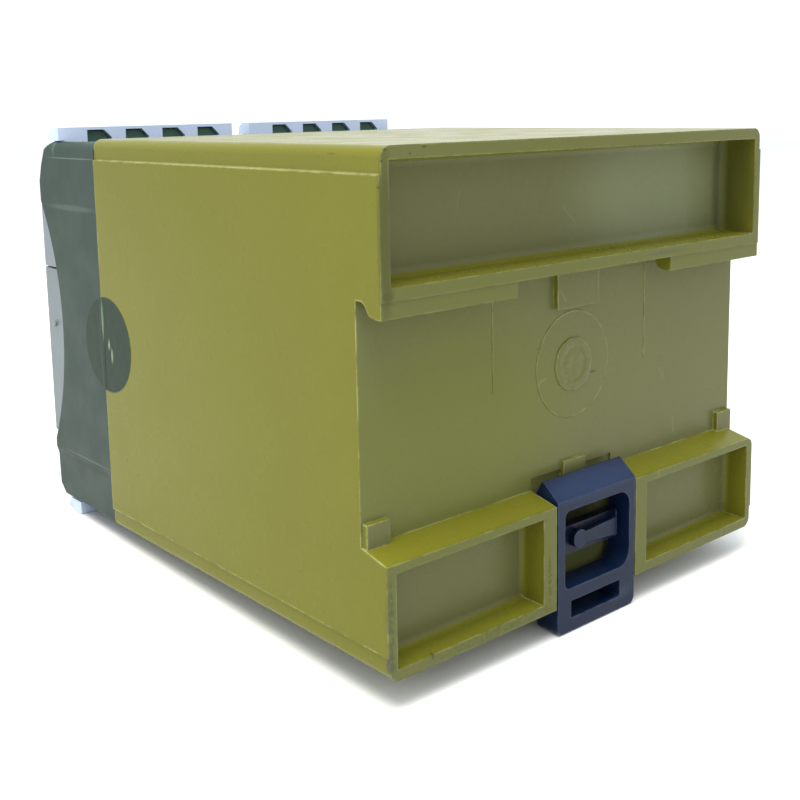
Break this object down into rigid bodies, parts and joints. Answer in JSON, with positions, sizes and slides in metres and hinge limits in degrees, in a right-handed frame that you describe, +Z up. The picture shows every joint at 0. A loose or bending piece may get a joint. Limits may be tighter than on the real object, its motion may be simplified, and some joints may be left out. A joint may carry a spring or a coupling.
{
  "type": "safety relay",
  "caption": "Rail-mounted safety relay in an olive yellow and grey housing, with a blue rail latch, light terminal strips, and relays and supply parts inside",
  "frame": {"origin": "middle of the 35 mm rail's seat, on the plane of the rail pads", "axes": "+Z up when mounted on a wall rail, front faces -Y, rear faces +Y, +X is the left side as seen from behind"},
  "size_m": [0.0901, 0.1116, 0.0816],
  "materials": {
    "casing_yellow": "fine-grained moulded olive yellow plastic, lightly scuffed",
    "casing_grey": "fine-grained moulded grey green plastic",
    "plate_light": "smooth light blue-grey plastic",
    "panel_light": "smooth light blue-grey plastic",
    "strip_light": "smooth light blue-grey plastic",
    "clear_guide": "clear polished light guide",
    "lens": "clear moulded lamp body",
    "latch_blue": "dark blue moulded plastic",
    "board_green": "solder-masked glass laminate",
    "header_black": "black moulded plastic",
    "relay_case": "sealed cream plastic can",
    "core_steel": "stacked varnished laminations",
    "bobbin_dark": "moulded bobbin",
    "winding_tape": "winding wrapped in film tape",
    "foot_steel": "tinned steel",
    "can_sleeve": "shrunk plastic sleeve",
    "fuse_body": "ceramic tube",
    "limiter_blue": "dipped epoxy coat",
    "screw_steel": "zinc-plated steel",
    "clamp_steel": "nickel-plated steel",
    "pin_metal": "tinned brass",
    "seal_film": "thin translucent film, creased where it has lifted"
  },
  "bodies": {
    "case": {"capacitor_1": "can_sleeve", "capacitor_2": "can_sleeve", "contact_pins_bottom_left": "pin_metal", "contact_pins_bottom_right": "pin_metal", "contact_pins_top_left": "pin_metal", "contact_pins_top_right": "pin_metal", "front_cover": "casing_grey", "front_plate": "plate_light", "fuse": "fuse_body", "housing": "casing_yellow", "indicator_panel": "panel_light", "led_channel_one": "lens", "led_channel_two": "lens", "led_supply": "lens", "light_guide": "clear_guide", "rectifier": "header_black", "relay_1": "relay_case", "relay_2": "relay_case", "relay_3": "relay_case", "relay_board": "board_green", "relay_header": "header_black", "supply_board": "board_green", "supply_header": "header_black", "surge_limiter": "limiter_blue", "tamper_seal": "seal_film", "terminal_board": "board_green", "terminal_clamps_bottom_left": "clamp_steel", "terminal_clamps_bottom_right": "clamp_steel", "terminal_clamps_top_left": "clamp_steel", "terminal_clamps_top_right": "clamp_steel", "terminal_screws_bottom_left": "screw_steel", "terminal_screws_bottom_right": "screw_steel", "terminal_screws_top_left": "screw_steel", "terminal_screws_top_right": "screw_steel", "terminal_strip_bottom_left": "strip_light", "terminal_strip_bottom_right": "strip_light", "terminal_strip_top_left": "strip_light", "terminal_strip_top_right": "strip_light", "transformer_bobbin": "bobbin_dark", "transformer_core": "core_steel", "transformer_feet": "foot_steel", "transformer_winding": "winding_tape"},
    "latch": {"rail_latch": "latch_blue"}
  },
  "joints": [
    {"name": "rail_latch_slide", "type": "slide", "parent": "case", "child": "latch", "axis": [0, 0, -1], "range_m": [0, 0.0035], "stiffness_N_per_m": 600, "springref_m": -0.001}
  ]
}
